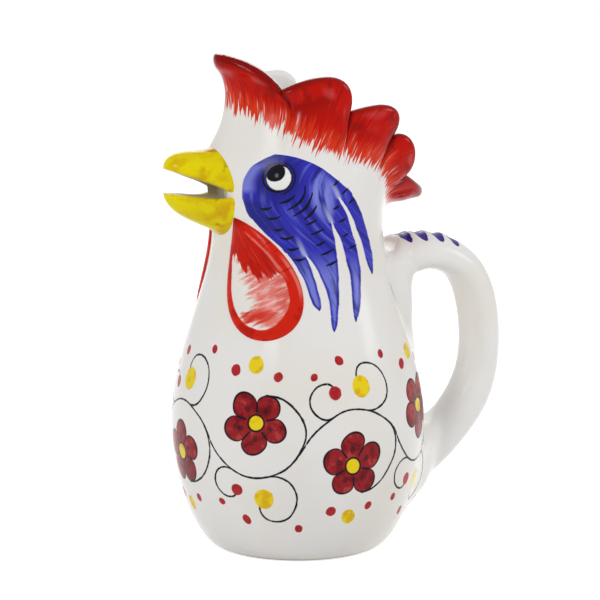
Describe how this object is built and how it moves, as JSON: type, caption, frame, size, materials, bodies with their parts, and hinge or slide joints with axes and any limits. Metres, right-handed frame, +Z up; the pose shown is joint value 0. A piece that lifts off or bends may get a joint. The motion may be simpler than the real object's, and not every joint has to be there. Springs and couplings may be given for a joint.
{
  "type": "rooster jug",
  "caption": "Hollow ceramic jug in the shape of a rooster: a scalloped comb forms the rim, an open beak the spout and a ridged ear handle the grip.",
  "frame": {"origin": "middle of the foot's underside, on the axis of the body, on the table", "axes": "+Z up along the body's axis, -X the way the bird faces, +X towards the handle, -Y the bird's left"},
  "size_m": [0.188, 0.1286, 0.2493],
  "materials": {
    "white_glaze": "gloss",
    "red_glaze": "gloss",
    "yellow_glaze": "gloss"
  },
  "bodies": {
    "root": {"vessel_body": "white_glaze", "head": "red_glaze", "upper_beak": "yellow_glaze", "lower_beak": "yellow_glaze", "left_eye": "white_glaze", "right_eye": "white_glaze", "left_wattle": "red_glaze", "right_wattle": "red_glaze", "handle": "white_glaze"}
  },
  "joints": []
}
